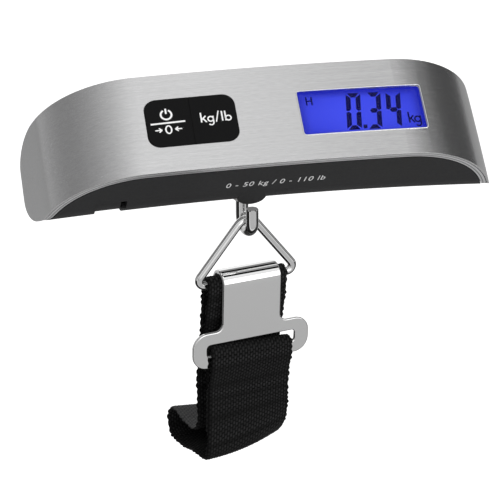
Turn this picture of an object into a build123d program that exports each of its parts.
from build123d import *
from math import acos, asin, atan2, cos, degrees, radians, sin, sqrt, tan
import os

# Digital luggage scale with its load hook, triangle ring, hook plate and strap.
# Lengths in millimetres, angles in degrees.
# Row frame (all files): +Z is the load axis pointing up, +X runs along the body, the origin is
# where the axis of the load hook leaves the underside of the housing.
# Body frame: x along the face, y from the face (0) towards the back, z up the face.

# ---- body outline
FACE_H = 35.64          # height of the face
R_FACE = 942.7          # plan radius of the long middle arc of the face
HALF_FLAT = 42.535      # half length of that arc
R_END = 35.16           # plan radius of the two ends
END_ANGLE = 70.0        # the end arcs turn this far, then run straight to the back
BACK_Y = 32.7           # depth of the body at its middle
R_BACK = 656.0          # hollow plan radius of the back
R_TOP = 11.5            # rounding between back and top
R_BOT = 14.0            # rounding between back and underside
WALL = 2.0              # wall of the rear housing
BEYOND_BACK = 45.0      # y past every part of the back, where cutters end

PITCH = 50.5            # the face leans back this far when the scale hangs
HOOK_AT = (-8.7, 27.9, -14.36)   # origin of the row frame, body frame

BODY_TO_ROW = Rot(X=-PITCH) * Pos(*(-c for c in HOOK_AT))
ROW_TO_BODY = Pos(*HOOK_AT) * Rot(X=PITCH)
SIDE_PLANE = Plane(origin=(0, 0, 0), x_dir=(0, 1, 0), z_dir=(1, 0, 0))  # sketch x, y -> Y, Z

# ---- front layers, y measured from the face
SHEET_T = 0.6           # stainless cover
LAYER_Y = SHEET_T + 0.04  # front of the frame and of the window, behind the cover
FRAME_D = 2.6           # back of the front frame
FRAME_INSET = 0.12      # the sheet edge stands this far proud of the frame
HOUSING_GAP = 0.22      # shadow gap between the front frame and the rear housing
LENS_T = 0.8            # display window

# openings in the body frame: x0, x1, z0, z1
WINDOW = (9.4, 50.6, -8.56, 7.5)
KEYS = (-40.8, -11.35, -8.8, 8.7)
KEY_R = 4.0
DOOR = (-65.8, -41.2, -10.8, 11.3)
DOOR_R = 2.0
DOOR_T = 1.8
DOOR_Y0 = 28            # the door and its opening start here

# ---- circuit board and screws, body frame
PCB = (-47, 54.5, -12.2, 12.2)   # x0, x1, z0, z1
PCB_Y0, PCB_Y1 = 10.68, 12.2
PCB_HOLES = [(x, z) for x in (-44.6, 3.6) for z in (9.5, -9.5)]
SCREW_X = 69.0
CASE_HOLES = [(x, z) for x in (-SCREW_X, SCREW_X) for z in (8.5, -8.5)]
BOSS_Y0, BOSS_Y1 = 8, 27         # screw bosses of the front frame

# ---- load cell, row frame
BEAM_L, BEAM_W = 72.0, 8.6
BEAM_Z0, BEAM_Z1 = 4.0, 11.5
MOUNT_XS = (-31.0, 31.0)         # screws at the ends of the load cell
FLEX_X = (11.0, 18.0)            # holes and gauges on each side of the middle
BUSH_R = 3.0
HOOK_WIRE = 4.2

os.makedirs("parts", exist_ok=True)


# ---- helpers
def save(name, shapes):
    """Write the separate solids of one piece, given in the row frame."""
    items = shapes if isinstance(shapes, (list, tuple)) else [shapes]
    solids = [solid for item in items for solid in item.solids()]
    piece = solids[0] if len(solids) == 1 else Compound(children=solids)
    piece.label = name
    export_step(piece, f"parts/{name}.step")


def save_body(name, shapes):
    """Write one piece given in the body frame."""
    items = shapes if isinstance(shapes, (list, tuple)) else [shapes]
    save(name, [BODY_TO_ROW * item for item in items])


def box(x0, x1, y0, y1, z0, z1):
    return Pos((x0 + x1) / 2, (y0 + y1) / 2, (z0 + z1) / 2) * Box(x1 - x0, y1 - y0, z1 - z0)


def rounded_block(rect, radius, y0=-3, y1=12, grow=0.0):
    """Box over (x0, x1, z0, z1), grown on four sides, with its edges along Y rounded."""
    x0, x1, z0, z1 = rect
    block = box(x0 - grow, x1 + grow, y0, y1, z0 - grow, z1 + grow)
    return fillet(block.edges().filter_by(Axis.Y), radius)


def cyl_y(x, z, radius, y0, y1):
    return Pos(x, (y0 + y1) / 2, z) * Rot(X=90) * Cylinder(radius, y1 - y0)


def round_sweep(path, start, heading, radius):
    return sweep(Plane(origin=start, z_dir=heading) * Circle(radius), path=path)


def cross_screw(x, z, shank_r, tip_y, seat_y, head_r, head_h, slot_half, slot_w):
    """Screw along Y with a cross slot in its head."""
    screw = cyl_y(x, z, shank_r, tip_y, seat_y + 0.5)
    screw = screw + cyl_y(x, z, head_r, seat_y + 0.03, seat_y + head_h)
    for dx, dz in ((slot_half, slot_w / 2), (slot_w / 2, slot_half)):
        screw = screw - box(x - dx, x + dx, seat_y + 0.9, seat_y + 3, z - dz, z + dz)
    return screw


# ---- body solids
TANGENT_ANGLE = degrees(asin(HALF_FLAT / R_FACE))   # where the middle arc meets the ends
END_CX = HALF_FLAT - R_END * sin(radians(TANGENT_ANGLE))
END_CY = R_FACE * (1 - cos(radians(TANGENT_ANGLE))) + R_END * cos(radians(TANGENT_ANGLE))


def end_arc_point(inset, angle, side):
    radius = R_END - inset
    return (side * (END_CX + radius * sin(radians(angle))), END_CY - radius * cos(radians(angle)))


def face_edges(inset, y_end):
    """Edges of the face curve moved inwards, from -X to +X, and its two end points."""
    x, y = end_arc_point(inset, END_ANGLE, 1)
    run = (y_end - y) / sin(radians(END_ANGLE))
    x_end = x + run * cos(radians(END_ANGLE))
    start, end = (-x_end, y_end), (x_end, y_end)
    angles = (END_ANGLE, 0.5 * (TANGENT_ANGLE + END_ANGLE), TANGENT_ANGLE)
    left = [end_arc_point(inset, angle, -1) for angle in angles]
    right = [end_arc_point(inset, angle, 1) for angle in reversed(angles)]
    return [
        Line(start, left[0]),
        ThreePointArc(*left),
        ThreePointArc(left[2], (0.0, inset), right[0]),
        ThreePointArc(*right),
        Line(right[2], end),
    ], start, end


def slab(edges, height):
    """Closed plan outline extruded evenly about z = 0."""
    return Pos(0, 0, -height / 2) * extrude(Face(Wire(edges)), height, dir=(0, 0, 1))


def behind(inset):
    """Everything behind the face curve moved inwards."""
    edges, start, end = face_edges(inset, 60.0)
    return slab(edges + [Line(end, start)], 60.0)


def back_y(x, inset=0.0):
    radius = R_BACK + inset
    return BACK_Y - inset + radius - sqrt(radius * radius - x * x)


def envelope(inset):
    """The outside shape of the body moved inwards on every side."""
    x, y = end_arc_point(inset, END_ANGLE, 1)
    # step along the straight end line until it meets the back arc
    run = 10.0
    for _ in range(60):
        y_back = back_y(x + run * cos(radians(END_ANGLE)), inset)
        run += 0.7 * ((y_back - y) / sin(radians(END_ANGLE)) - run)
    edges, start, end = face_edges(inset, back_y(x + run * cos(radians(END_ANGLE)), inset))
    edges.append(ThreePointArc(end, (0, back_y(0, inset)), start))
    height = FACE_H - 2 * inset
    body = slab(edges, height)

    def long_back_edges():
        return [e for e in body.edges() if e.center().Y > BACK_Y - inset - 1 and e.length > 120]

    body = fillet([e for e in long_back_edges() if e.center().Z > 0], R_TOP - inset)
    bottom = [e for e in long_back_edges() if e.center().Z < -height / 2 + 1]
    return fillet(bottom, R_BOT - inset)


OUTSIDE = envelope(0.0)
INSIDE = envelope(WALL)
INSET_05 = envelope(0.5)
INSET_08 = envelope(0.8)
INSET_30 = envelope(3.0)

# ---- steel cover
key_cut = rounded_block(KEYS, KEY_R)
save_body("steel_cover", OUTSIDE - behind(SHEET_T) - rounded_block(WINDOW, 0.8) - key_cut)

# ---- front frame: a thin band with bosses for the case screws and the board screws
frame = (envelope(FRAME_INSET) & behind(LAYER_Y)) - behind(FRAME_D)
boss_limit = behind(1.2)
for x, z in CASE_HOLES:
    frame = frame + (cyl_y(x, z, 2.3, BOSS_Y0, BOSS_Y1) & boss_limit)
for x, z in PCB_HOLES:
    frame = frame + (cyl_y(x, z, 2.0, 0, PCB_Y0 - 0.04) & boss_limit)
for x, z in CASE_HOLES:
    frame = frame - cyl_y(x, z, 0.95, 19.5, 28)
for x, z in PCB_HOLES:
    frame = frame - cyl_y(x, z, 0.85, 4.5, 11)
frame = frame - rounded_block(WINDOW, 1.2, grow=1.3) - key_cut
save_body("front_frame", frame)

# ---- display window
lens_layer = behind(LAYER_Y) - behind(LAYER_Y + LENS_T)
save_body("display_window", rounded_block(WINDOW, 1.1, grow=1.2) & lens_layer)

# ---- rear housing
TAB_X0, TAB_X1, TAB_Y0 = -58.0, -49.1, 17.9   # opening for the tab of the battery door
PAD_X, PAD_Y, PAD_R, PAD_H = -6.64, 22.3, 4.85, 7.0
SCREW_SEAT_Y = back_y(SCREW_X) - 3.6

front_pocket = behind(0.5) & box(-64, 64, -5, 60, -20, 20)
cavity = INSIDE & (behind(FRAME_D + 2.0) + front_pocket)
housing = (OUTSIDE & behind(FRAME_D + HOUSING_GAP)) - cavity
# flat round pad beside the hook, level with the underside
pad = Pos(PAD_X, PAD_Y, (PAD_H - FACE_H) / 2) * Cylinder(PAD_R, PAD_H)
pad = chamfer(pad.edges().sort_by(Axis.Z)[0], 0.3)
housing = housing + (pad - INSIDE)
# seats for the ends of the load cell, with screw holes
for x in MOUNT_XS:
    seat = ROW_TO_BODY * box(x - 4.8, x + 4.8, -5.2, 5.2, -6, BEAM_Z0 - 0.02)
    housing = housing + (seat & INSET_05)
for x in MOUNT_XS:
    housing = housing - ROW_TO_BODY * (Pos(x, 0, 2.6) * Cylinder(1.3, 3.2))
# posts for the case screws, with clearance around the frame bosses
for x, z in CASE_HOLES:
    post = cyl_y(x, z, 3.0, BOSS_Y1 + 0.06, BEYOND_BACK) & INSET_05
    housing = housing + post
for x, z in CASE_HOLES:
    housing = housing - cyl_y(x, z, 1.35, 26, BEYOND_BACK)
    housing = housing - cyl_y(x, z, 2.35, SCREW_SEAT_Y, BEYOND_BACK)
    housing = housing - cyl_y(x, z, 2.45, BOSS_Y0, BOSS_Y1 + 0.05)
# openings: battery door, its tab with a finger notch, hook bush
tab_cut = box(TAB_X0, TAB_X1, TAB_Y0, BEYOND_BACK, -25, -10.5)
tab_cut = tab_cut + box(TAB_X1 - 0.1, -47.9, 17.75, 22.6, -25, -15.0)
housing = housing - rounded_block(DOOR, DOOR_R, DOOR_Y0, BEYOND_BACK) - tab_cut
housing = housing - ROW_TO_BODY * Cylinder(BUSH_R + 0.03, 16)
save_body("rear_housing", housing)

# ---- battery door, tilts about its top edge
DOOR_GAP = 0.15
door_block = rounded_block(DOOR, DOOR_R - DOOR_GAP, DOOR_Y0, BEYOND_BACK, grow=-DOOR_GAP)
door = (OUTSIDE - envelope(DOOR_T)) & door_block
tab_box = box(TAB_X0 + 0.2, TAB_X1 - 0.55, TAB_Y0 + 0.2, BEYOND_BACK, -25, DOOR[2] + 1.5)
tab = (INSET_08 - INSIDE) & tab_box
door = door + tab
# two webs by the top edge, each with a tongue reaching past it
for x in (-63.2, -43.8):
    web_box = box(x - 1.5, x + 1.5, 26, BEYOND_BACK, 8.6, DOOR[3] - 0.4)
    tongue_box = box(x - 1.5, x + 1.5, 24, BEYOND_BACK, 8.6, DOOR[3] + 1.1)
    web = (INSET_08 - INSET_30) & web_box
    tongue = (envelope(2.2) - INSET_30) & tongue_box
    door = door + web + tongue
save_body("battery_door", door)

# ---- battery, its holder and contacts
BAT_X, BAT_Z, BAT_R, BAT_T = -53.5, 0.7, 10.0, 3.2
BAT_Y1 = back_y(BAT_X, DOOR_T) - 1.5
BAT_Y0 = BAT_Y1 - BAT_T
CUP_Y = BAT_Y0 - 0.6             # floor of the holder

holder = cyl_y(BAT_X, BAT_Z, 11.4, CUP_Y - 1.0, BAT_Y1 - 0.4)
holder = holder - cyl_y(BAT_X, BAT_Z, BAT_R + 0.25, CUP_Y, BAT_Y1 + 1)
holder = holder - box(BAT_X + 6, BAT_X + 14, CUP_Y, BAT_Y1 + 1, -3, 3)
holder = holder & INSIDE & box(-80, 80, 0, 60, -15.7, 15.7)
save_body("battery_holder", holder)

battery = cyl_y(BAT_X, BAT_Z, BAT_R, BAT_Y0, BAT_Y1)
save_body("coin_battery", chamfer(battery.edges().sort_by(Axis.Y)[0], 0.5))

# disc with a strip and a raised middle
NEG_Y0, NEG_Y1 = BAT_Y0 - 0.55, BAT_Y0 - 0.25
negative = cyl_y(BAT_X, 0, 4.0, NEG_Y0, NEG_Y1)
negative = negative + box(BAT_X - 1.2, BAT_X + 1.2, NEG_Y0, NEG_Y1, 3.0, 8.8)
negative = negative + cyl_y(BAT_X, 0, 1.2, BAT_Y0 - 0.4, BAT_Y0 - 0.03)
save_body("battery_contact_negative", negative)

# angle beside the rim of the battery
POS_X, POS_Y = BAT_X + BAT_R + 0.1, BAT_Y0 - 0.5
positive = box(POS_X, POS_X + 0.3, POS_Y, BAT_Y1 - 0.7, -2.4, 2.4)
positive = positive + box(POS_X, POS_X + 2.3, POS_Y, POS_Y + 0.3, -2.4, 2.4)
save_body("battery_contact_positive", positive)

# ---- display stack
# The flat glass lies on the chord of the curved window; its local y is the depth behind
# the glass front.
LCD_X, LCD_Y, LCD_TURN = 30.0, 2.9, 3.5
LCD_PLACE = Pos(LCD_X, LCD_Y, 0) * Rot(Z=LCD_TURN)
LCD_RIM = 1.15                   # wall of the display holder

panes = [LCD_PLACE * box(-21.4, 21.4, y, y + 0.98, -9.5, 8.45) for y in (0, 1.02)]
save_body("lcd_glass", panes)
save_body("backlight", LCD_PLACE * box(-21.2, 21.2, 2.05, 4.05, -7.7, 6.7))

lcd_holder = box(6.9, 53.1, -2, PCB_Y0 - 0.06, -11.3, 10.3)
lcd_holder = lcd_holder - box(
    6.9 + LCD_RIM, 53.1 - LCD_RIM, -3, 12, -11.3 + LCD_RIM, 10.3 - LCD_RIM)
save_body("lcd_holder", lcd_holder & behind(FRAME_D + 0.05))

behind_glass = LCD_PLACE * box(-40, 40, 2.03, 40, -20, 20)
save_body("zebra_strips", [
    box(10, 50, 0, PCB_Y0 - 0.02, z0, z1) & behind_glass
    for z0, z1 in ((-9.5, -7.9), (6.9, 8.4))])

# ---- circuit board and its components
pcb = rounded_block(PCB, 1.5, PCB_Y0, PCB_Y1)
for x, z in PCB_HOLES:
    pcb = pcb - cyl_y(x, z, 1.0, 9, 14)
save_body("main_pcb", pcb)

BLOB_X, BLOB_Y = 30, PCB_Y1 + 0.03
blob = Pos(BLOB_X, BLOB_Y, 0) * Rot(X=-90) * (Sphere(7.0) & Cylinder(4.8, 20))
blob = blob & box(BLOB_X - 10, BLOB_X + 10, BLOB_Y, PCB_Y1 + 1.6, -6, 6)
save_body("controller_blob", blob)

# x, z, width along x, height along z, thickness
SMD_TABLE = (
    (14, 5, 3.2, 1.6, 1.2), (14, -4, 2.0, 1.25, 0.8), (18, -8, 2.0, 1.25, 0.8),
    (43, 6, 3.2, 1.6, 1.2), (43, -6, 6.0, 4.0, 1.5), (-24, 8.5, 3.2, 1.6, 1.2),
    (-32, 8.5, 2.0, 1.25, 0.8), (22, 8.5, 2.0, 1.25, 0.8),
)
SMD_Y = PCB_Y1 + 0.02
save_body("smd_components", [
    box(x - width / 2, x + width / 2, SMD_Y, SMD_Y + thick, z - height / 2, z + height / 2)
    for x, z, width, height, thick in SMD_TABLE])

# ---- board screws and case screws
# the board screw heads sit 0.02 off the board
pcb_screws = []
for x, z in PCB_HOLES:
    screw = cyl_y(x, z, 0.8, 5.2, PCB_Y1 + 0.5) + cyl_y(x, z, 1.8, PCB_Y1 + 0.02, PCB_Y1 + 1.4)
    for dx, dz in ((1.3, 0.25), (0.25, 1.3)):
        screw = screw - box(x - dx, x + dx, PCB_Y1 + 0.9, PCB_Y1 + 2, z - dz, z + dz)
    pcb_screws.append(screw)
save_body("pcb_screws", pcb_screws)
save_body("case_screws", [
    cross_screw(x, z, shank_r=0.9, tip_y=20.5, seat_y=SCREW_SEAT_Y,
                head_r=2.1, head_h=1.7, slot_half=1.4, slot_w=0.6)
    for x, z in CASE_HOLES])

# ---- keys, plungers and switches
KEY_SPLIT = -26.1       # x of the joint between the two keys
SPLIT_GAP = 0.1
KEY_GAP = 0.14          # around the caps in the opening
KEY_PROUD = 0.35        # the caps stand this far out of the face
SWITCH_Y0 = 7.1
POWER_X, UNIT_X = -33.5, -18.8

caps = rounded_block(KEYS, KEY_R - KEY_GAP, grow=-KEY_GAP)
caps = caps & (behind(-KEY_PROUD) - behind(FRAME_D + 0.2))
caps = fillet(caps.faces().sort_by(Axis.Y)[0].edges(), 0.3)
flange_layer = behind(FRAME_D + 0.08) - behind(FRAME_D + 0.9)
flanges = rounded_block(KEYS, KEY_R + 0.6, grow=0.8) & flange_layer
for name, x0, x1, stem_x in (("power", -60, KEY_SPLIT - SPLIT_GAP / 2, POWER_X),
                             ("unit", KEY_SPLIT + SPLIT_GAP / 2, 0, UNIT_X)):
    side = box(x0, x1, -5, 20, -20, 20)
    key = (caps & side) + (flanges & side)
    key = key + cyl_y(stem_x, 0, 2.4, FRAME_D + 0.6, 5.0)
    save_body(f"key_{name}", key)
    save_body(f"switch_plunger_{name}", cyl_y(stem_x, 0, 1.6, 5.04, 8.9))
save_body("tact_switches", [
    rounded_block((x - 3.0, x + 3.0, -3.0, 3.0), 0.4, SWITCH_Y0, PCB_Y0 - 0.02)
    - cyl_y(x, 0, 1.66, 6, 9.6)
    for x in (POWER_X, UNIT_X)])

# ---- load cell (row frame from here on)
BEAM_MID = (BEAM_Z0 + BEAM_Z1) / 2
beam = box(-BEAM_L / 2, BEAM_L / 2, -BEAM_W / 2, BEAM_W / 2, BEAM_Z0, BEAM_Z1)
beam = fillet(beam.edges().filter_by(Axis.Y), 0.8)
for side, mount_x in zip((-1, 1), MOUNT_XS):
    # two cross holes joined by a slot, then the mounting hole
    for dx in FLEX_X:
        beam = beam - Pos(side * dx, 0, BEAM_MID) * Rot(X=90) * Cylinder(2.6, 20)
    slot_x0, slot_x1 = sorted(side * dx for dx in FLEX_X)
    beam = beam - box(slot_x0, slot_x1, -10, 10, BEAM_MID - 0.6, BEAM_MID + 0.6)
    beam = beam - Pos(mount_x, 0, BEAM_MID) * Cylinder(1.6, 20)
beam = beam - Pos(0, 0, BEAM_MID) * Cylinder(HOOK_WIRE / 2 + 0.06, 20)
save("load_cell", beam)

save("strain_gauges", [
    box(side * dx - 2.2, side * dx + 2.2, -1.8, 1.8, BEAM_Z1 + 0.01, BEAM_Z1 + 0.13)
    for side in (-1, 1) for dx in FLEX_X])

HEAD_H = 1.8
cell_screws = []
for x in MOUNT_XS:
    screw = Pos(x, 0, 7.1) * Cylinder(1.25, 10.0)
    screw = screw + Pos(x, 0, BEAM_Z1 + 0.03 + HEAD_H / 2) * Cylinder(2.7, HEAD_H)
    socket = extrude(RegularPolygon(1.45, 6), 1.4, both=True)
    cell_screws.append(screw - Pos(x, 0, BEAM_Z1 + 1.6) * socket)
save("load_cell_screws", cell_screws)

bush = Pos(0, 0, 1.4) * Cylinder(BUSH_R, 4.0) - Cylinder(HOOK_WIRE / 2 + 0.08, 16)
bush = chamfer(bush.edges().filter_by(GeomType.CIRCLE).sort_by(Axis.Z)[:2], 0.25)
save("hook_bush", bush)

# ---- wires to the board
WIRE_END_Y = PCB_Y1 + 0.6
cell_wires = []
# x at the gauge (row frame), x at the board (body frame)
for gauge_x, board_x in ((-11.0, -16.0), (-18.0, -19.5), (11.0, 9.5), (18.0, 13.0)):
    start = Vector(gauge_x, -1.2, BEAM_Z1 + 0.62)
    end = (BODY_TO_ROW * Pos(board_x, WIRE_END_Y, -9.0)).position
    middle = Vector((start.X + end.X) / 2, (start.Y + end.Y) / 2 - 0.6,
                    max(start.Z, end.Z) + 0.8)
    path = Spline(start, middle, end)
    cell_wires.append(round_sweep(path, path @ 0, path % 0, 0.4))
save("load_cell_wires", cell_wires)

BOARD_X = -41.0
battery_wires = []
# start x, y, z and z at the board
for x, y, z, board_z in ((BAT_X + 12.9, BAT_Y0 - 0.9, 1.2, 3.0),
                         (BAT_X + 1.0, BAT_Y0 - 2.2, 6.0, 6.0)):
    middle = ((x + BOARD_X) / 2 + 1.0, (y + PCB_Y1) / 2, (z + board_z) / 2 + 0.8)
    path = Spline((x, y, z), middle, (BOARD_X, WIRE_END_Y, board_z))
    battery_wires.append(round_sweep(path, path @ 0, path % 0, 0.45))
save_body("battery_wires", battery_wires)

# ---- load hook: stem, half-round bend, short tip; held by a washer and a nut
HOOK_OFFSET = 7.47      # stem to tip, centre to centre
HOOK_BEND_R = HOOK_OFFSET / 2
HOOK_BEND_Z = -6.33     # centre of the bend
HOOK_TIP_Z = -1.44
HOOK_YAW = 15.0         # heading of the hook about the load axis
STEM_TOP = 15.6
WASHER_T = 0.7
WASHER_Z = BEAM_Z1 + 0.03

YAW = Rot(Z=HOOK_YAW)
bend_start, bend_end = (0, 0, HOOK_BEND_Z), (0, -HOOK_OFFSET, HOOK_BEND_Z)
path = Wire([
    Line((0, 0, STEM_TOP), bend_start),
    ThreePointArc(bend_start, (0, -HOOK_BEND_R, HOOK_BEND_Z - HOOK_BEND_R), bend_end),
    Line(bend_end, (0, -HOOK_OFFSET, HOOK_TIP_Z)),
])
hook = round_sweep(path, (0, 0, STEM_TOP), (0, 0, -1), HOOK_WIRE / 2)
# every edge centred at or above the tip, the stem's included
hook = chamfer([e for e in hook.edges() if e.center().Z > HOOK_TIP_Z - 0.05], 0.25)
save("load_hook", YAW * hook)

washer = Cylinder(3.9, WASHER_T) - Cylinder(HOOK_WIRE / 2 + 0.1, 3)
save("hook_washer", Pos(0, 0, WASHER_Z + WASHER_T / 2) * washer)

nut = Pos(0, 0, WASHER_Z + WASHER_T + 0.02) * extrude(RegularPolygon(3.9, 6), 2.8)
save("hook_nut", YAW * (nut - Cylinder(HOOK_WIRE / 2 + 0.02, 60)))

# ---- triangle ring, hanging in the bend of the hook; local origin at its wire's apex
RING_WIRE = 2.9
RING_HALF = 19.4        # half length of the base bar, to the virtual corners
RING_H = 23.63          # virtual apex to base bar
RING_R_APEX = 4.3
RING_R_BASE = 2.0
RING_ROCK = 1.7         # tilt of the ring in its own plane

APEX_Z = HOOK_BEND_Z - (HOOK_BEND_R - HOOK_WIRE / 2 - RING_WIRE / 2) + 0.03
HANG = Pos(HOOK_BEND_R * sin(radians(HOOK_YAW)), -HOOK_BEND_R * cos(radians(HOOK_YAW)), APEX_Z)
HANG = HANG * YAW * Rot(Y=RING_ROCK)
VIRTUAL_APEX_Z = RING_R_APEX / sin(atan2(RING_HALF, RING_H)) - RING_R_APEX
BAR_Z = VIRTUAL_APEX_Z - RING_H


def rounded_corner(corner, before, after, radius):
    """Start, middle and end of the arc that rounds a corner."""
    to_before, to_after = (before - corner).normalized(), (after - corner).normalized()
    half = acos(max(-1, min(1, to_before.dot(to_after)))) / 2
    reach = radius / tan(half)
    bisector = (to_before + to_after).normalized()
    centre = corner + bisector * (radius / sin(half))
    return corner + to_before * reach, centre - bisector * radius, corner + to_after * reach


apex = Vector(0, 0, VIRTUAL_APEX_Z)
left, right = Vector(-RING_HALF, 0, BAR_Z), Vector(RING_HALF, 0, BAR_Z)
apex_arc = rounded_corner(apex, left, right, RING_R_APEX)
right_arc = rounded_corner(right, apex, left, RING_R_BASE)
left_arc = rounded_corner(left, right, apex, RING_R_BASE)
bar_middle = Vector(0, 0, BAR_Z)
path = Wire([
    Line(bar_middle, left_arc[0]), ThreePointArc(*left_arc),
    Line(left_arc[2], apex_arc[0]), ThreePointArc(*apex_arc),
    Line(apex_arc[2], right_arc[0]), ThreePointArc(*right_arc),
    Line(right_arc[2], bar_middle),
])
save("triangle_ring", HANG * round_sweep(path, bar_middle, (-1, 0, 0), RING_WIRE / 2))

# ---- hook plate: curl over the bar, flat face, slotted foot; origin at the bar's middle
STRAP = HANG * Pos(0, 0, BAR_Z)
PLATE_T = 1.4
PLATE_HALF = 10.6
PLATE_DX = 0.4
CURL_RI = 3.1
CURL_RO = CURL_RI + PLATE_T
CURL_LIP = -0.4         # the curl ends just below the bar's centre line
WING_TOP = -15.7
WING = (-21.5, 21.5, -28.5, WING_TOP)   # x0, x1, z0, z1
SLOT = (-16.3, 16.3, -24.3, -20.1)

foot_z = WING_TOP - 1.5
section = Wire([
    Line((-CURL_RO, foot_z), (-CURL_RO, 0)),
    ThreePointArc((-CURL_RO, 0), (0, CURL_RO), (CURL_RO, 0)),
    Line((CURL_RO, 0), (CURL_RO, CURL_LIP)),
    Line((CURL_RO, CURL_LIP), (CURL_RI, CURL_LIP)),
    Line((CURL_RI, CURL_LIP), (CURL_RI, 0)),
    ThreePointArc((CURL_RI, 0), (0, CURL_RI), (-CURL_RI, 0)),
    Line((-CURL_RI, 0), (-CURL_RI, foot_z)),
    Line((-CURL_RI, foot_z), (-CURL_RO, foot_z)),
])
plate = SIDE_PLANE * extrude(Face(section), PLATE_HALF, both=True)
plate = plate + rounded_block(WING, 5.2, -CURL_RO, -CURL_RI)
# inner corners where the upper part meets the wing
plate = fillet([e for e in plate.edges().filter_by(Axis.Y)
                if abs(abs(e.center().X) - PLATE_HALF) < 0.05
                and abs(e.center().Z - WING_TOP) < 0.05], 2.6)
plate = plate - rounded_block(SLOT, 1.2, -10, 0)
# rims of the flat faces, then the side edges of the curl
rim = [e for e in plate.edges() if e.length > 0.5 and e.bounding_box().size.Y < 0.01
       and min(abs(e.center().Y + CURL_RO), abs(e.center().Y + CURL_RI)) < 0.01]
rim += [e for e in plate.edges()
        if e.bounding_box().size.X < 0.01 and e.bounding_box().size.Y > 4]
plate = fillet(rim, 0.45)
save("hook_plate", STRAP * Pos(PLATE_DX, 0, 0) * plate)

# ---- webbing
WEB_W = 30.0
WEB_T = 1.3


def ribbon(points):
    """Webbing that follows a centre line of (y, z) points, as one extruded band."""
    centre_line = Spline(list(points))
    steps = 150
    left_side, right_side = [], []
    for i in range(steps + 1):
        point, tangent = centre_line @ (i / steps), centre_line % (i / steps)
        dx, dy = -tangent.Y * WEB_T / 2, tangent.X * WEB_T / 2
        left_side.append((point.X + dx, point.Y + dy))
        right_side.append((point.X - dx, point.Y - dy))
    outline = Wire([
        Spline(left_side), Line(left_side[-1], right_side[-1]),
        Spline(right_side[::-1]), Line(right_side[0], left_side[0])])
    return SIDE_PLANE * extrude(Face(outline), WEB_W / 2, both=True)


def arc_points(y, z, radius, start, end, steps):
    angles = [radians(start + (end - start) * i / steps) for i in range(steps + 1)]
    return [(y + radius * cos(angle), z + radius * sin(angle)) for angle in angles]


# centre lines as (y, z) from the middle of the bar
STRAP_LINE = [
    (2.7, -29.5), (1.6, -24.0), (0.2, -17.0), (-1.3, -9.0), (-2.1, -3.5),
    *arc_points(0, 0, RING_WIRE / 2 + 0.08 + WEB_T / 2, 180, 0, 8),
    (2.35, -4.0), (2.8, -10.0), (3.2, -18.0), (4.2, -28.0), (5.3, -36.5), (4.9, -43.0),
    (4.2, -49.0), (5.3, -54.2), (9.2, -57.2), (15.0, -57.6), (21.0, -56.9), (25.6, -57.8),
    (28.0, -62.0), (26.2, -66.4), (20.5, -67.9), (12.0, -66.8), (3.5, -65.5), (-1.6, -64.4),
    (-3.7, -61.0), (-3.9, -55.0), (-3.85, -46.0), (-3.8, -38.2),
]
LOOP_LINE = [
    (-2.3, -36.5), (-2.3, -31.0), (-2.25, -26.5),
    *arc_points(-3.8, -24.35, 1.52, 20, 160, 6),
    (-5.32, -27.0), (-5.28, -29.6), (-4.5, -32.4), (-3.85, -34.8), (-3.8, -37.9),
]
save("strap_webbing", STRAP * ribbon(STRAP_LINE))
save("strap_end_loop", STRAP * ribbon(LOOP_LINE))
